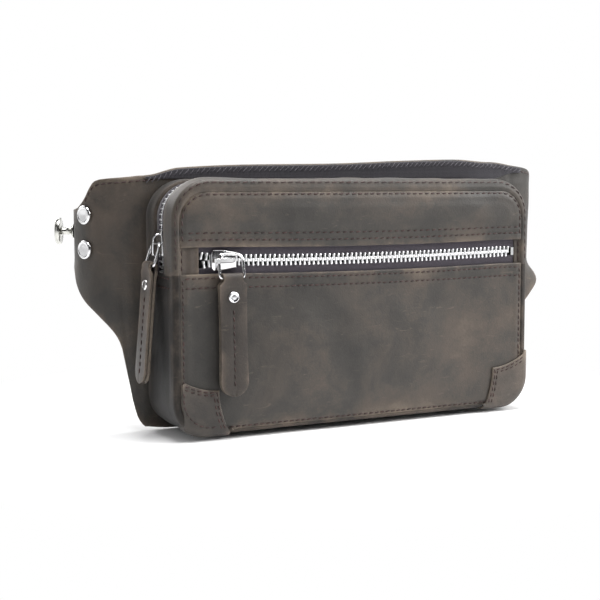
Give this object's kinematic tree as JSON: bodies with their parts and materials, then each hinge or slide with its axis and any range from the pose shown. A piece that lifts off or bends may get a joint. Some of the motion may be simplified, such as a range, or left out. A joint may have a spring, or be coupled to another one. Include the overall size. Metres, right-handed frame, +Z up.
{
  "type": "waist pack",
  "caption": "Leather waist pack: a zipped pouch with a zipped front pocket on a back panel whose two wings carry a belt strap and its stud.",
  "frame": {"origin": "on the flat wearer-side face of the back panel, at mid-width, level with the bottom of the pouch", "axes": "+X to the right in a front view, -Y out of the front of the pack, +Y out of the face that lies on the wearer, +Z up"},
  "size_m": [0.3517, 0.1442, 0.171],
  "materials": {
    "oiled_leather": "waxed, matte, dark grey-brown",
    "dark_leather": "waxed, matte, darker",
    "pull_leather": "waxed, worn lighter",
    "zip_tape": "woven tape",
    "chrome": "polished",
    "lining_cloth": "plain weave"
  },
  "bodies": {
    "pack": {"front_pocket_panel": "oiled_leather", "upper_flap_band": "oiled_leather", "front_top_panel": "oiled_leather", "zip_end_cap_left": "oiled_leather", "zip_end_cap_right": "oiled_leather", "gusset_top_front": "oiled_leather", "gusset_top_rear": "oiled_leather", "corner_patch_left": "oiled_leather", "corner_patch_right": "oiled_leather", "back_panel": "oiled_leather", "gusset_body": "dark_leather", "back_top_facing": "dark_leather", "front_zip_tape_upper": "zip_tape", "front_zip_tape_lower": "zip_tape", "main_zip_tape_front": "zip_tape", "main_zip_tape_rear": "zip_tape", "front_zip_teeth_upper": "chrome", "front_zip_teeth_lower": "chrome", "front_zip_bottom_stop": "chrome", "main_zip_teeth_front": "chrome", "main_zip_teeth_rear": "chrome", "pocket_divider": "lining_cloth", "front_pocket_lining": "lining_cloth", "main_lining_bag": "lining_cloth"},
    "left_wing": {"left_wing": "oiled_leather", "left_strap_tab": "dark_leather", "left_rivet_upper": "chrome", "left_rivet_lower": "chrome", "belt_stud": "chrome", "belt_stud_screw": "chrome"},
    "right_wing": {"right_wing": "oiled_leather", "right_strap_tab": "dark_leather", "right_rivet_upper": "chrome", "right_rivet_lower": "chrome"},
    "front_slider": {"front_slider": "chrome"},
    "front_ring": {"front_ring": "chrome"},
    "front_pull": {"front_pull": "pull_leather", "front_pull_rivet": "chrome"},
    "main_slider": {"main_slider": "chrome"},
    "main_ring": {"main_ring": "chrome"},
    "main_pull": {"main_pull": "pull_leather", "main_pull_rivet": "chrome"},
    "belt_ring": {"belt_ring": "chrome"},
    "belt_strap": {"belt_strap": "oiled_leather"}
  },
  "joints": [
    {"name": "left_wing_flex", "type": "hinge", "parent": "pack", "child": "left_wing", "pos_m": [-0.1279, -0.0009, 0.08], "axis": [0, 0, 1], "range_deg": [-20, 30]},
    {"name": "right_wing_flex", "type": "hinge", "parent": "pack", "child": "right_wing", "pos_m": [0.1279, -0.0009, 0.08], "axis": [0, 0, -1], "range_deg": [-10, 30]},
    {"name": "front_zip_slide", "type": "slide", "parent": "pack", "child": "front_slider", "axis": [1, 0, 0], "range_m": [0, 0.198]},
    {"name": "front_ring_swing", "type": "hinge", "parent": "front_slider", "child": "front_ring", "pos_m": [-0.0908, -0.05125, 0.1091], "axis": [0, -0.989, 0.148], "range_deg": [-15, 15]},
    {"name": "front_pull_lift", "type": "hinge", "parent": "front_ring", "child": "front_pull", "pos_m": [-0.0908, -0.05338, 0.09486], "axis": [-1, 0, 0], "range_deg": [0, 100]},
    {"name": "main_zip_slide", "type": "slide", "parent": "pack", "child": "main_slider", "axis": [0, 0, 1], "range_m": [0, 0.007]},
    {"name": "main_ring_lift", "type": "hinge", "parent": "main_slider", "child": "main_ring", "pos_m": [-0.12825, -0.0253, 0.1155], "axis": [0, 1, 0], "range_deg": [0, 50]},
    {"name": "main_pull_lift", "type": "hinge", "parent": "main_ring", "child": "main_pull", "pos_m": [-0.1327, -0.0253, 0.10181], "axis": [0, 1, 0], "range_deg": [0, 90]},
    {"name": "belt_ring_turn", "type": "hinge", "parent": "right_wing", "child": "belt_ring", "pos_m": [0.16462, 0.03663, 0.121], "axis": [0, 0, -1], "range_deg": [0, 25]},
    {"name": "belt_strap_swing", "type": "hinge", "parent": "belt_ring", "child": "belt_strap", "pos_m": [0.15864, 0.04703, 0.121], "axis": [0, 0, -1], "range_deg": [0, 60]}
  ]
}
